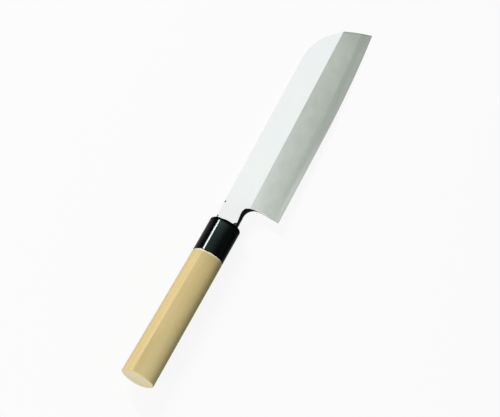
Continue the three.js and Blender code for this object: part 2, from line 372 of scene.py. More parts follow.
def close_up(piece):
    bmesh.ops.remove_doubles(piece, verts=piece.verts, dist=MERGE_WITHIN)
    bmesh.ops.dissolve_degenerate(piece, edges=piece.edges, dist=MERGE_WITHIN)
    face_out(piece)


def face_out(piece):
    # normals outward, on thin plates too
    bmesh.ops.recalc_face_normals(piece, faces=piece.faces)
    if piece.calc_volume(signed=True) < 0:
        bmesh.ops.reverse_faces(piece, faces=piece.faces)


SHARP = math.radians(32)


def put_in_place(name, piece, lay, materials, cad_node):
    for f in piece.faces:
        f.smooth = True
    for e in piece.edges:
        if e.calc_face_angle(0) > SHARP:
            e.smooth = False
    bmesh.ops.transform(piece, matrix=lay, verts=piece.verts)
    mesh = bpy.data.meshes.new(name)
    piece.to_mesh(mesh)
    piece.free()
    for material in materials:
        mesh.materials.append(material)
    made = bpy.data.objects.new(name, mesh)
    bpy.context.scene.collection.objects.link(made)
    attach(made, "root")
    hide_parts(cad_node)


POLISHED, HAZED, PAINTED_DARK = range(3)
iron = blade_plate(
    0, iron_end, WELD_ROW, ground_level, iron_underside,
    dict(flat=POLISHED, bevel=HAZED, under=HAZED, wall=POLISHED, dark_painted=PAINTED_DARK),
)

# The tang is drawn out of the end of the neck, along the handle's axis
HANDLE_RISE = math.radians(1.5)
TANG_END = -85.0
TANG_SECTION = (9.5, 3.0)
TANG_END_SECTION = (4.5, 2.2)
NECK_THICK = 3.6
NECK_MIDDLE_Z = 0.05
NEAR = 0.01
to_butt = Vector((-math.cos(HANDLE_RISE), math.sin(HANDLE_RISE), 0))
neck_end = [
    f for f in iron.faces if all(abs(v.co.x - NECK_START) < NEAR for v in f.verts)
]
neck_middle = Vector((NECK_START, (SPINE_Y + NECK_Y) / 2, NECK_MIDDLE_Z))
neck_section = (SPINE_Y - NECK_Y, NECK_THICK)
tang_root = -to_butt * NECK_START


def draw_tang(faces, was, now, centre, move):
    edges = {e for f in faces for e in f.edges}
    made = bmesh.ops.extrude_face_region(iron, geom=[*faces, *edges])["geom"]
    verts = [g for g in made if isinstance(g, bmesh.types.BMVert)]
    bmesh.ops.scale(
        iron, vec=(1, now[0] / was[0], now[1] / was[1]), verts=verts,
        space=Matrix.Translation(-centre),
    )
    bmesh.ops.translate(iron, vec=move, verts=verts)
    return [g for g in made if isinstance(g, bmesh.types.BMFace)]


tang = draw_tang(neck_end, neck_section, TANG_SECTION, neck_middle, tang_root - neck_middle)
draw_tang(
    tang, TANG_SECTION, TANG_END_SECTION, tang_root, to_butt * (NECK_START - TANG_END)
)
# the end of the neck and the tang take the same painted black
for f in iron.faces:
    if all(v.co.x < NECK_START + NEAR for v in f.verts):
        f.material_index = PAINTED_DARK
face_out(iron)


def new_finish(name):
    material = bpy.data.materials.new(name)
    material.use_nodes = True
    return material


def node(material, kind, values=None, **settings):
    made = material.node_tree.nodes.new("ShaderNode" + kind)
    for name, value in settings.items():
        setattr(made, name, value)
    feed(material, made, values or {})
    return made


def feed(material, made, values):
    for socket, value in values.items():
        if isinstance(value, bpy.types.NodeSocket):
            material.node_tree.links.new(value, made.inputs[socket])
        else:
            made.inputs[socket].default_value = value


def millimetres_on(material, lay):
    # the piece's own millimetres, as it was drawn before it was laid down
    back = lay.inverted()
    where = node(material, "TexCoord")
    place = node(material, "Mapping", {
        "Vector": where.outputs["Object"],
        "Location": back.to_translation(),
        "Rotation": back.to_euler(),
        "Scale": back.to_scale(),
    })
    return place.outputs["Vector"]


def stretched(material, where, scale):
    made = node(material, "VectorMath", {0: where, 1: scale}, operation="MULTIPLY")
    return made.outputs[0]


def noise(material, where, scale, detail=2.0):
    spread = stretched(material, where, scale)
    made = node(material, "TexNoise", {"Vector": spread, "Scale": 1.0, "Detail": detail})
    return made.outputs[0]


def gap_to(material, where, place):
    made = node(material, "VectorMath", {0: where, 1: place}, operation="DISTANCE")
    return made.outputs["Value"]


def between(material, value, low, high, to_low=0.0, to_high=1.0):
    made = node(material, "MapRange", {
        "Value": value, "From Min": low, "From Max": high, "To Min": to_low, "To Max": to_high,
    })
    return made.outputs[0]


# Levels of a noise: nearly all of it lies in the first span, and most of it in the second
NOISE_SPAN, NOISE_MIDDLE = (0.3, 0.7), (0.35, 0.65)


def two_colours(material, share, first, second, how="MIX"):
    made = node(material, "MixRGB", {"Fac": share, "Color1": first, "Color2": second},
                blend_type=how)
    return made.outputs[0]


def worked_out(material, operation, *values):
    made = node(material, "Math", dict(enumerate(values)), operation=operation)
    return made.outputs[0]


def bump(material, height, strength, depth):
    made = node(material, "Bump", {"Height": height, "Strength": strength, "Distance": depth})
    return made.outputs[0]


def shade(material, **values):
    names = {key.replace("_", " "): value for key, value in values.items()}
    shader = material.node_tree.nodes["Principled BSDF"]
    sockets = {s.name.lower(): s.name for s in shader.inputs}
    feed(material, shader, {sockets[name]: value for name, value in names.items()})


# Polished flat: nearly white, with fine lines along the blade, a black patch in the neck's lower
# corner and two black specks at the spine
COOL_POLISH = (0.832, 0.868, 0.874, 1)
WARM_POLISH = (0.850, 0.880, 0.862, 1)
NECK_POLISH = (0.830, 0.843, 0.836, 1)
NECK_TONE_ENDS = (12, 30)
PATCH_BLACK = (0.006, 0.006, 0.006, 1)
CORNER_PATCH = (2.4, -7.2)
CORNER_REACH = (2.6, 3.2)
CORNER_RIM = (0.85, 1.0)
SPINE_SPECKS = (((3.2, 8.7, 1.7), 1.0), ((16.0, 8.4, 1.8), 0.7))
SPECK_RIM = 0.35
polished = new_finish("polished_iron")
spot = millimetres_on(polished, lay_blade)
parts = node(polished, "SeparateXYZ", {0: spot})
long_lines = noise(polished, spot, (0.03, 4.0, 4.0), 3)
clouds = noise(polished, spot, (0.03, 0.05, 0.05), 1)
cloudy = between(polished, clouds, *NOISE_MIDDLE)
blade_tone = two_colours(polished, cloudy, COOL_POLISH, WARM_POLISH)
past_neck = between(polished, parts.outputs[0], *NECK_TONE_ENDS)
tone = two_colours(polished, past_neck, NECK_POLISH, blade_tone)
cornered = stretched(polished, spot, (1 / CORNER_REACH[0], 1 / CORNER_REACH[1], 0.0))
corner_middle = (CORNER_PATCH[0] / CORNER_REACH[0], CORNER_PATCH[1] / CORNER_REACH[1], 0.0)
unmarked = between(polished, gap_to(polished, cornered, corner_middle), *CORNER_RIM)
for speck, reach in SPINE_SPECKS:
    off_speck = between(polished, gap_to(polished, spot, speck), reach, reach + SPECK_RIM)
    unmarked = worked_out(polished, "MINIMUM", unmarked, off_speck)
shade(
    polished,
    base_color=two_colours(polished, unmarked, PATCH_BLACK, tone),
    metallic=unmarked,
    roughness=between(polished, long_lines, *NOISE_SPAN, 0.17, 0.25),
    normal=bump(polished, long_lines, 0.04, 0.0001),
)

# Hazed bevel: satin grey with a soft cloudiness, and a painted reflection that is darker towards the
# tip and lower down, with painted shade just above the weld and towards the front
# painted reflection: the bevel's tones by the heel and by the tip, higher and lower on it
HEEL_UPPER, HEEL_LOWER = (0.587, 0.626, 0.601, 1), (0.474, 0.518, 0.476, 1)
TIP_UPPER, TIP_LOWER = (0.454, 0.492, 0.449, 1), (0.396, 0.442, 0.390, 1)
# painted shade just above the weld
PAINTED_WELD_SHADE = (0.89, 0.905, 0.895, 1)
# painted shade towards the front
HAZED_FRONT_SHADE = (0.93, 0.92, 0.93, 1)
PAINTED_FRONT_LINE = (0.76, 0.77, 0.76, 1)
HAZE_DARK, HAZE_LIGHT = (0.95, 0.95, 0.95, 1), (1.03, 1.03, 1.03, 1)

# How high above the edge, how far along the blade or how far behind the front each painted reflection
# and shade comes in
UPPER_TO_LOWER = (21, 9)
HEEL_TO_TIP = (HEEL_X, 118)
OVER_WELD_HEIGHT = (9, 5)
OVER_WELD_ALONG = (24, 52)
FRONT_SHADE_GAP = (18, 6)
FRONT_LINE_GAP = (1.6, 0.4)


def times(material, tone, share, factor):
    return two_colours(material, share, tone, factor, "MULTIPLY")


def painted_shade_to_front(material, tone, front_tone):
    # a soft painted shade towards the front, and a thin painted dark line along it
    gap = node(material, "Attribute", attribute_name="behind_front").outputs["Fac"]
    shaded = times(material, tone, between(material, gap, *FRONT_SHADE_GAP), front_tone)
    return times(material, shaded, between(material, gap, *FRONT_LINE_GAP), PAINTED_FRONT_LINE)


hazed = new_finish("hazed_iron")
spot = millimetres_on(hazed, lay_blade)
parts = node(hazed, "SeparateXYZ", {0: spot})
edge_gap = node(hazed, "Attribute", attribute_name="above_edge").outputs["Fac"]
down_bevel = between(hazed, edge_gap, *UPPER_TO_LOWER)
by_heel = two_colours(hazed, down_bevel, HEEL_UPPER, HEEL_LOWER)
by_tip = two_colours(hazed, down_bevel, TIP_UPPER, TIP_LOWER)
to_tip = between(hazed, parts.outputs[0], *HEEL_TO_TIP)
painted_reflection_tone = two_colours(hazed, to_tip, by_heel, by_tip)
weld_shade_mask = worked_out(hazed, "MULTIPLY", between(hazed, edge_gap, *OVER_WELD_HEIGHT),
                       between(hazed, parts.outputs[0], *OVER_WELD_ALONG))
fronted = painted_shade_to_front(hazed, times(hazed, painted_reflection_tone, weld_shade_mask, PAINTED_WELD_SHADE), HAZED_FRONT_SHADE)
haze = noise(hazed, spot, (0.10, 0.16, 0.16), 4)
hazy = two_colours(hazed, between(hazed, haze, *NOISE_SPAN), HAZE_DARK, HAZE_LIGHT)
stone_lines = noise(hazed, spot, (3.0, 0.12, 0.12), 3)
shade(
    hazed,
    base_color=times(hazed, fronted, 1.0, hazy),
    metallic=1.0,
    roughness=between(hazed, stone_lines, *NOISE_SPAN, 0.36, 0.46),
    normal=bump(hazed, stone_lines, 0.08, 0.0001),
)

# Painted dark reflection: black with blotches on the neck's rounded underside, its end and the tang,
# giving way to bright iron as the choil turns down
DARK_PAINT_DEEP, DARK_PAINT_PALE = (0.002, 0.0025, 0.0025, 1), (0.010, 0.011, 0.011, 1)
BRIGHT_IRON = (0.90, 0.90, 0.84, 1)
PAINT_ENDS_ALONG = (20.4, 21.3)
PAINT_END_LEAN = 0.7
PAINT_END_RAGGED = 0.8
dark_reflection_paint = new_finish("dark_reflection_paint")
spot = millimetres_on(dark_reflection_paint, lay_blade)
parts = node(dark_reflection_paint, "SeparateXYZ", {0: spot})
blotches = noise(dark_reflection_paint, spot, (0.9, 0.9, 0.9), 5)
blotchy = between(dark_reflection_paint, blotches, *NOISE_MIDDLE)
dark_paint_tone = two_colours(dark_reflection_paint, blotchy, DARK_PAINT_DEEP, DARK_PAINT_PALE)
leaning = worked_out(dark_reflection_paint, "MULTIPLY_ADD", parts.outputs[2], PAINT_END_LEAN, parts.outputs[0])
ragged = worked_out(dark_reflection_paint, "MULTIPLY_ADD", blotches, PAINT_END_RAGGED, leaning)
past_dark_paint = between(dark_reflection_paint, ragged, *PAINT_ENDS_ALONG)
shade(
    dark_reflection_paint,
    base_color=two_colours(dark_reflection_paint, past_dark_paint, dark_paint_tone, BRIGHT_IRON),
    metallic=past_dark_paint,
    roughness=between(dark_reflection_paint, blotches, *NOISE_SPAN, 0.3, 0.45),
    specular_ior_level=0.03,
    normal=bump(dark_reflection_paint, blotches, 0.15, 0.0002),
)

put_in_place("iron_blade", iron, lay_blade, [polished, hazed, dark_reflection_paint], "blade_body")

# Edge steel: the hard layer forge-welded under the iron, which makes the cutting edge.
# On the bevel it shows as a band along the edge. Its back is ground to a shallow hollow.
HOLLOW_DEPTH = 0.25
HOLLOW_RIM = 3.0
hollow_start, hollow_end = HEEL_X + HOLLOW_RIM, SHOULDER_X - 2 * HOLLOW_RIM


def steel_back(line, row):
    x, y = in_plan(line, row)
    low, high = edge_y(x), lines[line][2]
    if row == SPINE_ROW:
        return BACK_Z + spine_chamfer(heights[line][BEVEL_ROW], high)
    if not hollow_start < x < hollow_end:
        return BACK_Z
    # both run from -1 to 1 over the hollow
    along = (x - hollow_start) / (hollow_end - hollow_start) * 2 - 1
    across = (y - low - HOLLOW_RIM) / (high - low - 2 * HOLLOW_RIM) * 2 - 1
    if abs(across) >= 1:
        return BACK_Z
    return BACK_Z + HOLLOW_DEPTH * (1 - across ** 2) * (1 - along ** 6)


HONED, GROUND, STEEL_PAINTED_DARK, KEEN = range(4)
# the steel under the neck takes the same painted black
steel = blade_plate(
    steel_line, len(lines) - 1, 0, weld_level, steel_back,
    dict(flat=HONED, bevel=HONED, keen=KEEN, under=GROUND, wall=HONED, dark_painted=STEEL_PAINTED_DARK),
)

# Honed band: as dark as the painted iron at the weld and, as painted reflection, darker towards the
# tip, with a lighter line towards the edge by the heel
WELD_BY_HEEL = (0.481, 0.519, 0.476, 1)
WELD_MIDWAY = (0.398, 0.446, 0.398, 1)
WELD_BY_TIP = (0.339, 0.383, 0.334, 1)
LINE_BY_HEEL, LINE_BY_TIP = (0.514, 0.551, 0.508, 1), (0.358, 0.399, 0.355, 1)
HONED_FRONT_SHADE = (0.92, 0.91, 0.92, 1)
LAYER_DARK, LAYER_LIGHT = (0.94, 0.94, 0.94, 1), (1.05, 1.05, 1.05, 1)
HEEL_TO_MIDWAY, MIDWAY_TO_TIP = (22, 52), (52, 130)
LINE_FADES_ALONG = (48, 100)
LINE_HEIGHT = (4.2, 2.4)
honed = new_finish("honed_steel")
spot = millimetres_on(honed, lay_blade)
parts = node(honed, "SeparateXYZ", {0: spot})
edge_gap = node(honed, "Attribute", attribute_name="above_edge").outputs["Fac"]
to_midway = between(honed, parts.outputs[0], *HEEL_TO_MIDWAY)
to_tip = between(honed, parts.outputs[0], *MIDWAY_TO_TIP)
further = two_colours(honed, to_tip, WELD_MIDWAY, WELD_BY_TIP)
by_weld = two_colours(honed, to_midway, WELD_BY_HEEL, further)
line_fades = between(honed, parts.outputs[0], *LINE_FADES_ALONG)
light_line = two_colours(honed, line_fades, LINE_BY_HEEL, LINE_BY_TIP)
painted_reflection_tone = two_colours(honed, between(honed, edge_gap, *LINE_HEIGHT), by_weld, light_line)
fronted = painted_shade_to_front(honed, painted_reflection_tone, HONED_FRONT_SHADE)
layers = noise(honed, spot, (0.05, 1.3, 1.3), 3)
layered = two_colours(honed, between(honed, layers, *NOISE_SPAN), LAYER_DARK, LAYER_LIGHT)
stone_lines = noise(honed, spot, (4.0, 0.10, 0.10), 3)
shade(
    honed,
    base_color=times(honed, fronted, 1.0, layered),
    metallic=1.0,
    roughness=between(honed, stone_lines, *NOISE_SPAN, 0.30, 0.40),
    normal=bump(honed, stone_lines, 0.06, 0.0001),
)

# Keen edge: a narrow last bevel off a fine stone, darker towards the tip as a painted reflection
KEEN_BY_HEEL, KEEN_BY_TIP = (0.510, 0.538, 0.505, 1), (0.335, 0.357, 0.335, 1)
KEEN_DARKENS = (40, 170)
keen_edge = new_finish("keen_edge")
spot = millimetres_on(keen_edge, lay_blade)
parts = node(keen_edge, "SeparateXYZ", {0: spot})
to_tip = between(keen_edge, parts.outputs[0], *KEEN_DARKENS)
fine_lines = noise(keen_edge, spot, (6.0, 0.3, 0.3), 2)
shade(
    keen_edge,
    base_color=two_colours(keen_edge, to_tip, KEEN_BY_HEEL, KEEN_BY_TIP),
    metallic=1.0,
    roughness=between(keen_edge, fine_lines, *NOISE_SPAN, 0.22, 0.32),
    normal=bump(keen_edge, fine_lines, 0.05, 0.0001),
)

# Ground back: lengthwise wheel lines
GROUND_DARK, GROUND_LIGHT = (0.60, 0.62, 0.62, 1), (0.72, 0.735, 0.73, 1)
ground = new_finish("ground_steel")
spot = millimetres_on(ground, lay_blade)
wheel_lines = noise(ground, spot, (0.04, 3.0, 3.0), 4)
lined = between(ground, wheel_lines, *NOISE_SPAN)
shade(
    ground,
    base_color=two_colours(ground, lined, GROUND_DARK, GROUND_LIGHT),
    metallic=1.0,
    roughness=between(ground, wheel_lines, *NOISE_SPAN, 0.24, 0.36),
    normal=bump(ground, wheel_lines, 0.08, 0.0001),
)

put_in_place("steel_edge", steel, lay_blade, [honed, ground, dark_reflection_paint, keen_edge],
             "edge_steel")

# Grip: pale magnolia wood with one ridge on the bevel side, planed and sanded, left bare.
# A round tenon in front carries the ferrule, and a slot in it takes the tang.
HANDLE_LENGTH = 133.0
FERRULE_LENGTH = 28.0
HALF_HEIGHT = (11.75, 12.3)
RIDGE_DEPTH = (8.8, 11.0)
BACK_DEPTH = (9.0, 10.5)
LOWER_SWELL = (0.95, 0.62)
UPPER_SWELL = 0.5
UPPER_WAIST = 0.4
WAIST_TO_FRONT = 0.8
BACK_EASE = 0.05
RIDGE_SHARE = 0.375
RIDGE_DIP = 0.45
DIP_MIDDLE, DIP_REACH = 0.21, 0.16
BUTT_ROUND = 1.0
BUTT_SHARPER = 0.5
SLOPE_LENGTH, SLOPE_FALL = 1.35, 0.65
NO_SWAY = (0.0, 0.0, 1.0)
JOINT_SWAY = (0.5, 2.6, 4.0)
WOOD_RIDGE_ROUND = 0.6
TENON_RADIUS = 6.5
TENON_FRONT = -0.8
TENON_CHAMFER = 0.4
TANG_FIT = 0.3
SLOT_SPARE = 3.0
lay_handle = lay_blade @ Matrix.Rotation(-HANDLE_RISE, 4, "Z")
UPPER_STEPS, RIDGE_STEPS, LOWER_STEPS, BACK_STEPS = 16, 6, 34, 44
ROUND_STEPS = UPPER_STEPS + RIDGE_STEPS + LOWER_STEPS + BACK_STEPS


def bow(a, b, c, share):
    return a * (1 - share) ** 2 + b * 2 * share * (1 - share) + c * share ** 2


def handle_section(step, x, ridge_round):
    # one point of the section, counted round from the spine side
    along = max(0, -x / HANDLE_LENGTH)
    half = blend(*HALF_HEIGHT, along)
    upper = half - UPPER_WAIST * math.sin(math.pi * along ** WAIST_TO_FRONT)
    depth = blend(*RIDGE_DEPTH, along)
    dip = RIDGE_DIP * max(0, 1 - ((along - DIP_MIDDLE) / DIP_REACH) ** 2) ** 2
    top, bottom = Vector((upper, 0)), Vector((-half, 0))
    ridge = Vector((half * RIDGE_SHARE - dip, depth))
    upper_bend = Vector((upper, depth * UPPER_SWELL))
    lower_bend = Vector((-half, depth * blend(*LOWER_SWELL, along)))
    upper_cut = 1 - ridge_round / (2 * (ridge - upper_bend).length)
    lower_cut = ridge_round / (2 * (lower_bend - ridge).length)
    if step < UPPER_STEPS:
        return bow(top, upper_bend, ridge, upper_cut * step / UPPER_STEPS)
    step -= UPPER_STEPS
    if step < RIDGE_STEPS:
        start = bow(top, upper_bend, ridge, upper_cut)
        end = bow(ridge, lower_bend, bottom, lower_cut)
        return bow(start, ridge, end, step / RIDGE_STEPS)
    step -= RIDGE_STEPS
    if step < LOWER_STEPS:
        return bow(ridge, lower_bend, bottom, blend(lower_cut, 1, step / LOWER_STEPS))
    turn = math.pi * (step - LOWER_STEPS) / BACK_STEPS
    across = half if turn < math.pi / 2 else upper
    eased = 1 - BACK_EASE * math.sin(2 * turn) ** 2
    return Vector((-across * math.cos(turn), -blend(*BACK_DEPTH, along) * math.sin(turn))) * eased


def section_ring(x, inset, ridge_round, sharper=0.0, sway=NO_SWAY):
    # a ring of the handle's outside, drawn in towards the axis, less so on the lower side if sharper,
    # and set back beside the ridge by a sway: how far, about which height, and over what reach
    half = blend(*HALF_HEIGHT, -x / HANDLE_LENGTH)
    set_back, middle, reach = sway
    ring = []
    for step in range(ROUND_STEPS):
        y, z = handle_section(step, x, ridge_round)
        lowness = max(0, -y / half) ** 2
        scale = 1 - inset * (1 - sharper * lowness) / half
        by_ridge = max(0, 1 - ((y - middle) / reach) ** 2) if z > 0 else 0
        ring.append((x - set_back * by_ridge ** 2, y * scale, z * scale))
    return ring


def round_ring(x, radius):
    ring = []
    for step in range(ROUND_STEPS):
        outward = handle_section(step, x, WOOD_RIDGE_ROUND).normalized() * radius
        ring.append((x, outward.x, outward.y))
    return ring


def slot_ring(x):
    along = x / TANG_END
    half_y = blend(TANG_SECTION[0], TANG_END_SECTION[0], along) / 2 + TANG_FIT
    half_z = blend(TANG_SECTION[1], TANG_END_SECTION[1], along) / 2 + TANG_FIT
    ring = []
    for step in range(ROUND_STEPS):
        outward = handle_section(step, x, WOOD_RIDGE_ROUND).normalized()
        reach = 1 / max(abs(outward.x) / half_y, abs(outward.y) / half_z)
        ring.append((x, outward.x * reach, outward.y * reach))
    return ring


def drawn_through(rings):
    # a circle set to the first ring, then drawn out from ring to ring
    piece = bmesh.new()
    step_no = piece.verts.layers.int.new("step")
    bmesh.ops.create_circle(piece, segments=ROUND_STEPS, radius=1)
    for step, v in enumerate(piece.verts):
        v[step_no] = step
        v.co = rings[0][step]
    first = piece.edges[:]
    last = first
    for ring in rings[1:]:
        made = bmesh.ops.extrude_edge_only(piece, edges=last)["geom"]
        fresh = {g for g in made if isinstance(g, bmesh.types.BMVert)}
        for v in fresh:
            v.co = ring[v[step_no]]
        last = [
            g for g in made
            if isinstance(g, bmesh.types.BMEdge) and all(v in fresh for v in g.verts)
        ]
    return piece, first, last


def rounded_end(x, size, way, ridge_round, steps, sharper=0.0, sway=NO_SWAY):
    # rings of a rounded end, from its flat face out to the full section
    rings = []
    for i in range(steps + 1):
        turn = math.pi / 2 * i / steps
        inset = size * (1 - math.sin(turn))
        ring_x = x + way * size * (1 - math.cos(turn))
        rings.append(section_ring(ring_x, inset, ridge_round, sharper, sway))
    return rings


joint_x = -FERRULE_LENGTH
slope_x = joint_x - SLOPE_LENGTH
GRIP_STEPS, BUTT_STEPS = 8, 5
grip_rings = rounded_end(
    -HANDLE_LENGTH, BUTT_ROUND, 1, WOOD_RIDGE_ROUND, BUTT_STEPS, sharper=BUTT_SHARPER
)
for i in range(1, GRIP_STEPS):
    x = blend(-HANDLE_LENGTH + BUTT_ROUND, slope_x, i / GRIP_STEPS)
    grip_rings.append(section_ring(x, 0, WOOD_RIDGE_ROUND))
grip_rings += [
    section_ring(slope_x, 0, WOOD_RIDGE_ROUND, sway=JOINT_SWAY),
    section_ring(joint_x, SLOPE_FALL, WOOD_RIDGE_ROUND, sway=JOINT_SWAY),
    round_ring(joint_x, TENON_RADIUS),
    round_ring(TENON_FRONT - TENON_CHAMFER, TENON_RADIUS),
    round_ring(TENON_FRONT, TENON_RADIUS - TENON_CHAMFER),
    slot_ring(TENON_FRONT),
    slot_ring(TANG_END - SLOT_SPARE),
]
grip, butt_edges, slot_edges = drawn_through(grip_rings)
bmesh.ops.edgeloop_fill(grip, edges=butt_edges)
bmesh.ops.edgeloop_fill(grip, edges=slot_edges)
close_up(grip)
END_GRAIN, CHARRED = 1, 2
GRAIN_OVER_RIM = 0.06
for f in grip.faces:
    middle = f.calc_center_median()
    on_butt = middle.x < -HANDLE_LENGTH + GRAIN_OVER_RIM
    if max(v.co.x for v in f.verts) > TENON_FRONT - NEAR:
        f.material_index = CHARRED
    # the butt takes the end grain, and so does the slope at the joint, for its painted highlight
    elif on_butt or middle.x > slope_x - NEAR:
        f.material_index = END_GRAIN

# Wood: close growth rings about a pith outside the handle, fibres and short pores along it, and on
# the side towards the edge painted shade by the ferrule and painted light by the butt
PITH = (0.0, 14.0, -52.0)
RING_SCALE = 0.7
RING_WANDER = 3.0
WOOD_DARK, WOOD_LIGHT = (0.725, 0.560, 0.268, 1), (0.785, 0.618, 0.312, 1)
LOWER_SHADE_BY_FERRULE, LOWER_LIGHT_BY_BUTT = (0.91, 0.89, 0.82, 1), (1.10, 1.12, 1.14, 1)
WOOD_PORE = (0.45, 0.31, 0.13, 1)
FERRULE_TO_BUTT = (-30, -130)
UPPER_TO_LOWER_SIDE = (4, -1)
PORE_LEVELS = (0.62, 0.72)
PORE_SHOWS = 0.25


def from_pith(material, where):
    off = node(material, "VectorMath", {0: where, 1: PITH}, operation="SUBTRACT").outputs[0]
    across = stretched(material, off, (0.0, 1.0, 1.0))
    return node(material, "VectorMath", {0: across}, operation="LENGTH").outputs["Value"]


def growth_rings(material, place):
    made = node(material, "TexNoise", {"W": place, "Scale": RING_SCALE, "Detail": 2.0},
                noise_dimensions="1D")
    return made.outputs[0]


wood = new_finish("magnolia_wood")
spot = millimetres_on(wood, lay_handle)
parts = node(wood, "SeparateXYZ", {0: spot})
wander = noise(wood, spot, (0.012, 0.05, 0.05), 2)
ring_place = worked_out(wood, "MULTIPLY_ADD", wander, RING_WANDER, from_pith(wood, spot))
fibres = noise(wood, spot, (0.05, 1.6, 1.6), 4)
grain = worked_out(wood, "ADD", growth_rings(wood, ring_place), fibres)
tone = two_colours(wood, between(wood, grain, 0.75, 1.25), WOOD_DARK, WOOD_LIGHT)
# painted shade on the side towards the edge by the ferrule, and painted light on it by the butt
to_butt_end = between(wood, parts.outputs[0], *FERRULE_TO_BUTT)
painted_lower_light = two_colours(wood, to_butt_end, LOWER_SHADE_BY_FERRULE, LOWER_LIGHT_BY_BUTT)
painted_side_light = times(wood, tone, between(wood, parts.outputs[1], *UPPER_TO_LOWER_SIDE), painted_lower_light)
pores = between(wood, noise(wood, spot, (0.22, 5.0, 5.0), 2), *PORE_LEVELS)
shade(
    wood,
    base_color=two_colours(wood, between(wood, pores, 0, 1, 0, PORE_SHOWS), painted_side_light, WOOD_PORE),
    roughness=between(wood, fibres, *NOISE_SPAN, 0.5, 0.62),
    specular_ior_level=0.25,
    normal=bump(wood, worked_out(wood, "SUBTRACT", fibres, pores), 0.12, 0.0001),
)

# End grain: paler where the wood is cut across its fibres, partly as painted light on the butt, with
# fine pores, and a painted cream highlight on the slope at the joint
BUTT_DARK, BUTT_LIGHT = (0.865, 0.750, 0.480, 1), (0.925, 0.825, 0.555, 1)
# painted highlight on the slope at the joint
PAINTED_JOINT_HIGHLIGHT = (0.98, 0.93, 0.74, 1)
END_PORE = (0.50, 0.38, 0.19, 1)
END_PORE_LEVELS = (0.6, 0.72)
END_PORE_SHOWS = 0.3
BUTT_TO_JOINT = (-60, -40)
end_grain = new_finish("end_grain")
spot = millimetres_on(end_grain, lay_handle)
parts = node(end_grain, "SeparateXYZ", {0: spot})
growth = growth_rings(end_grain, from_pith(end_grain, spot))
pore_noise = noise(end_grain, spot, (1.5, 4.0, 4.0), 2)
pores = between(end_grain, pore_noise, *END_PORE_LEVELS)
ringed = between(end_grain, growth, *NOISE_MIDDLE)
butt_tone = two_colours(end_grain, ringed, BUTT_DARK, BUTT_LIGHT)
to_joint_highlight = between(end_grain, parts.outputs[0], *BUTT_TO_JOINT)
tone = two_colours(end_grain, to_joint_highlight, butt_tone, PAINTED_JOINT_HIGHLIGHT)
shown_pores = between(end_grain, pores, 0, 1, 0, END_PORE_SHOWS)
shade(
    end_grain,
    base_color=two_colours(end_grain, shown_pores, tone, END_PORE),
    roughness=between(end_grain, pore_noise, *NOISE_SPAN, 0.6, 0.75),
    specular_ior_level=0.2,
    normal=bump(end_grain, pore_noise, 0.1, 0.0001),
)

# Charred wood: burnt black around the slot by the hot tang
SOOT_DARK, SOOT_LIGHT = (0.004, 0.003, 0.002, 1), (0.020, 0.013, 0.008, 1)
charred = new_finish("charred_wood")
spot = millimetres_on(charred, lay_handle)
soot = noise(charred, spot, (0.6, 1.2, 1.2), 3)
shade(
    charred,
    base_color=two_colours(charred, between(charred, soot, *NOISE_MIDDLE), SOOT_DARK, SOOT_LIGHT),
    roughness=between(charred, soot, *NOISE_SPAN, 0.7, 0.9),
    specular_ior_level=0.2,
    normal=bump(charred, soot, 0.2, 0.0002),
)

put_in_place("wooden_grip", grip, lay_handle, [wood, end_grain, charred], "handle_grip")

# Ferrule: a collar of black horn bored for the tenon, glued against the wood.
# It is turned and planed flush with the grip, its front rounded, and polished to a gloss.
FERRULE_FRONT = 0.75
FERRULE_ROUND = 2.2
FRONT_STEPS = 9
FRONT_SWAY = (0.7, 3.7, 4.6)
HORN_RIDGE_ROUND = 1.8
HORN_CHAMFER = 0.25
GLUE_LINE = 0.1
BORE_RADIUS = 6.65
BORE_CHAMFER = 0.3
BEFORE_ROUND = 0.3
horn_back = -FERRULE_LENGTH + GLUE_LINE
round_start = FERRULE_FRONT - FERRULE_ROUND - BEFORE_ROUND
ferrule_rings = [
    round_ring(horn_back, BORE_RADIUS),
    section_ring(horn_back, HORN_CHAMFER, HORN_RIDGE_ROUND, sway=JOINT_SWAY),
    section_ring(horn_back + HORN_CHAMFER, 0, HORN_RIDGE_ROUND, sway=JOINT_SWAY),
    section_ring(horn_back / 2, 0, HORN_RIDGE_ROUND),
    section_ring(round_start, 0, HORN_RIDGE_ROUND, sway=FRONT_SWAY),
]
ferrule_rings += reversed(
    rounded_end(FERRULE_FRONT, FERRULE_ROUND, -1, HORN_RIDGE_ROUND, FRONT_STEPS, sway=FRONT_SWAY)
)
ferrule_rings += [
    round_ring(FERRULE_FRONT, BORE_RADIUS + BORE_CHAMFER),
    round_ring(FERRULE_FRONT - BORE_CHAMFER, BORE_RADIUS),
]
ferrule, bore_back, bore_front = drawn_through(ferrule_rings)
bmesh.ops.bridge_loops(ferrule, edges=bore_back + bore_front)
close_up(ferrule)

# Horn: black with faint streaks and a painted sheen beside the ridge, lighter towards the front; its
# gloss is strongest beside the ridge, and gloss and painted sheen stop short of the front rim
HORN_DARK, HORN_LIGHT = (0.0008, 0.0012, 0.0012, 1), (0.003, 0.0045, 0.0045, 1)
# painted sheen on the facets beside the ridge
FACET_BACK, FACET_FRONT = (0.003, 0.0125, 0.0110, 1), (0.019, 0.035, 0.031, 1)
FACET_LIGHTENS = (-16, -2)
FACET_FROM, FACET_UP_TO = (-4.5, 1.0), (5.6, 4.6)
SHEEN_RIM_SPAN = (-1.5, -3.0)
POLISH_ACROSS = ((-4.0, 0.025), (2.5, 0.22), (5.3, 0.24), (6.0, 0.0), (9.5, 0.07))


def stepped(material, value, stops):
    # a value drawn through a few stops
    low, high = stops[0][0], stops[-1][0]
    ramp = node(material, "ValToRGB", {"Fac": between(material, value, low, high)})
    points = ramp.color_ramp.elements
    points.remove(points[1])
    for place, level in stops:
        point = points[0] if place == low else points.new((place - low) / (high - low))
        point.color = (level, level, level, 1)
    return ramp.outputs[0]


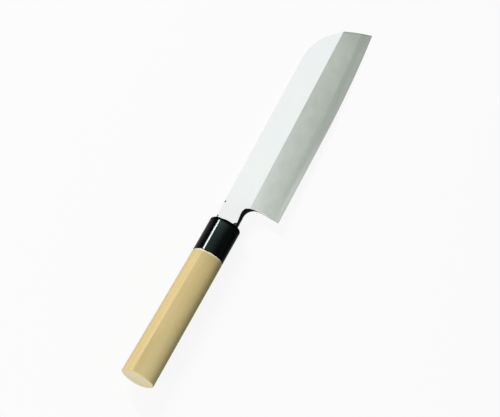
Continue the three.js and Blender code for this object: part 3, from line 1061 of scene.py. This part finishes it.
horn = new_finish("black_horn")
spot = millimetres_on(horn, lay_handle)
parts = node(horn, "SeparateXYZ", {0: spot})
streaks = noise(horn, spot, (0.06, 0.5, 0.5), 3)
rubbing = noise(horn, spot, (0.8, 3.0, 3.0), 2)
streaked = two_colours(horn, between(horn, streaks, 0.4, 0.7), HORN_DARK, HORN_LIGHT)
by_ridge = worked_out(horn, "MULTIPLY", between(horn, parts.outputs[1], *FACET_FROM),
                      between(horn, parts.outputs[1], *FACET_UP_TO))
off_rim = between(horn, parts.outputs[0], *SHEEN_RIM_SPAN)
to_front = between(horn, parts.outputs[0], *FACET_LIGHTENS)
facet_sheen = two_colours(horn, to_front, FACET_BACK, FACET_FRONT)
rimmed = two_colours(horn, off_rim, streaked, facet_sheen)
polish = stepped(horn, parts.outputs[1], POLISH_ACROSS)
shade(
    horn,
    base_color=two_colours(horn, by_ridge, streaked, rimmed),
    roughness=between(horn, rubbing, *NOISE_SPAN, 0.07, 0.12),
    specular_ior_level=worked_out(horn, "MULTIPLY", polish, off_rim),
    specular_tint=(0.85, 1.0, 1.0, 1),
    normal=bump(horn, streaks, 0.015, 0.0001),
)

put_in_place("horn_ferrule", ferrule, lay_handle, [horn], "ferrule")

# Floor: a plain pale sheet that the knife lies on, with a soft shadow.
# It is white where the camera or a polished face sees it.
FLOOR_HALF = 4.0
FLOOR_DROP = 0.0001
FLOOR_GREY = (0.08, 0.08, 0.08, 1)
FLOOR_WHITE = 0.893
floor_mesh = bmesh.new()
bmesh.ops.create_grid(floor_mesh, x_segments=1, y_segments=1, size=FLOOR_HALF)
bmesh.ops.translate(floor_mesh, vec=(0, 0, -FLOOR_DROP), verts=floor_mesh.verts)
floor_data = bpy.data.meshes.new("floor")
floor_mesh.to_mesh(floor_data)
floor_mesh.free()
floor = bpy.data.objects.new("floor", floor_data)
bpy.context.scene.collection.objects.link(floor)
paper = new_finish("pale_paper")
floor_data.materials.append(paper)


def seen_directly(material):
    # 1 for the camera and for reflections, 0 for light that spreads
    path = node(material, "LightPath")
    seen = path.outputs["Is Camera Ray"]
    for ray in ("Is Glossy Ray", "Is Transmission Ray"):
        seen = worked_out(material, "MAXIMUM", seen, path.outputs[ray])
    return seen


shade(
    paper,
    base_color=FLOOR_GREY,
    roughness=0.9,
    specular_ior_level=0.0,
    emission_color=(1, 1, 1, 1),
    emission_strength=between(paper, seen_directly(paper), 0, 1, 0, FLOOR_WHITE),
)

# Light: a softbox over the spine and the tip, fills from behind the handle, and a pale room that
# shows white in the polished faces, a little darker towards the horizon.
ROOM_TINT = (0.80, 1.0, 1.0, 1)
ROOM_LIGHT = 0.18
HORIZON, OVERHEAD = 0.15, 0.62
HORIZON_WHITE, OVERHEAD_WHITE = 0.6, 1.0
room = bpy.data.worlds.new("room")
room.use_nodes = True
bpy.context.scene.world = room
spread_light = room.node_tree.nodes["Background"]
feed(room, spread_light, {"Color": ROOM_TINT, "Strength": ROOM_LIGHT})
toward = node(room, "TexCoord").outputs["Generated"]
height = node(room, "SeparateXYZ", {0: toward}).outputs[2]
shown = node(room, "Background", {
    "Color": (1, 1, 1, 1),
    "Strength": between(room, height, HORIZON, OVERHEAD, HORIZON_WHITE, OVERHEAD_WHITE),
})
chosen = node(room, "MixShader", {
    0: seen_directly(room), 1: spread_light.outputs[0], 2: shown.outputs[0],
})
feed(room, room.node_tree.nodes["World Output"], {"Surface": chosen.outputs[0]})


def softbox(name, place, target, across, size, power, colour, mirrored=True):
    # a lamp of a given width and length, its width laid along the direction given, which shows in
    # polished faces if mirrored
    lamp = bpy.data.lights.new(name, "AREA")
    lamp.shape = "RECTANGLE"
    lamp.size, lamp.size_y = size
    lamp.energy = power
    lamp.color = colour
    made = bpy.data.objects.new(name, lamp)
    outward = (Vector(place) - Vector(target)).normalized()
    width = (Vector(across) - outward * outward.dot(Vector(across))).normalized()
    length = outward.cross(width)
    turned = Matrix((width, length, outward)).transposed().to_4x4()
    made.matrix_world = Matrix.Translation(place) @ turned
    made.visible_glossy = mirrored
    bpy.context.scene.collection.objects.link(made)


KEY_COLOUR, FILL_COLOUR = (1.0, 0.965, 0.92), (1.0, 0.98, 0.96)
along_handle = lay_handle.to_3x3() @ Vector((1, 0, 0))
softbox("key_softbox", place=(0.5514, 0.8270, 0.8390), target=(-0.044, 0.013, 0.018),
        across=along_handle, size=(0.14, 0.52), power=12.2, colour=KEY_COLOUR)
softbox("butt_fill", place=(-1.105, 0.195, 0.65), target=(0, 0, 0), across=(0, 1, 0),
        size=(0.8, 0.8), power=10.0, colour=FILL_COLOUR, mirrored=False)
softbox("butt_card", place=(-0.95, 0.03, 0.16), target=(-0.163, 0.012, 0.014), across=(0, 1, 0),
        size=(0.3, 0.3), power=0.7, colour=FILL_COLOUR, mirrored=False)

# Camera: the photographer's place, above the handle's lower side, with the tip to the upper right.
# A long lens, as far off as the knife's perspective asks for.
PHOTO_WIDTH = 500
FOCAL_PIXELS = 2112.06
EYE_PLACE = (-0.61321, -0.12063, 1.37763)
EYE_RIGHT = Vector((0.42797, -0.89705, 0.11015))
EYE_UP = Vector((0.80957, 0.43468, 0.39452))
EYE_BACK = Vector((-0.40178, -0.07967, 0.91226))
eye = bpy.data.cameras.new("camera")
eye.sensor_fit = "HORIZONTAL"
eye.sensor_width = 36.0
eye.lens = FOCAL_PIXELS / PHOTO_WIDTH * eye.sensor_width
eye.clip_end = 20.0
camera = bpy.data.objects.new("camera", eye)
turned = Matrix((EYE_RIGHT, EYE_UP, EYE_BACK)).transposed().to_4x4()
camera.matrix_world = Matrix.Translation(EYE_PLACE) @ turned
bpy.context.scene.collection.objects.link(camera)
bpy.context.scene.camera = camera
bpy.context.scene.view_settings.view_transform = "Standard"
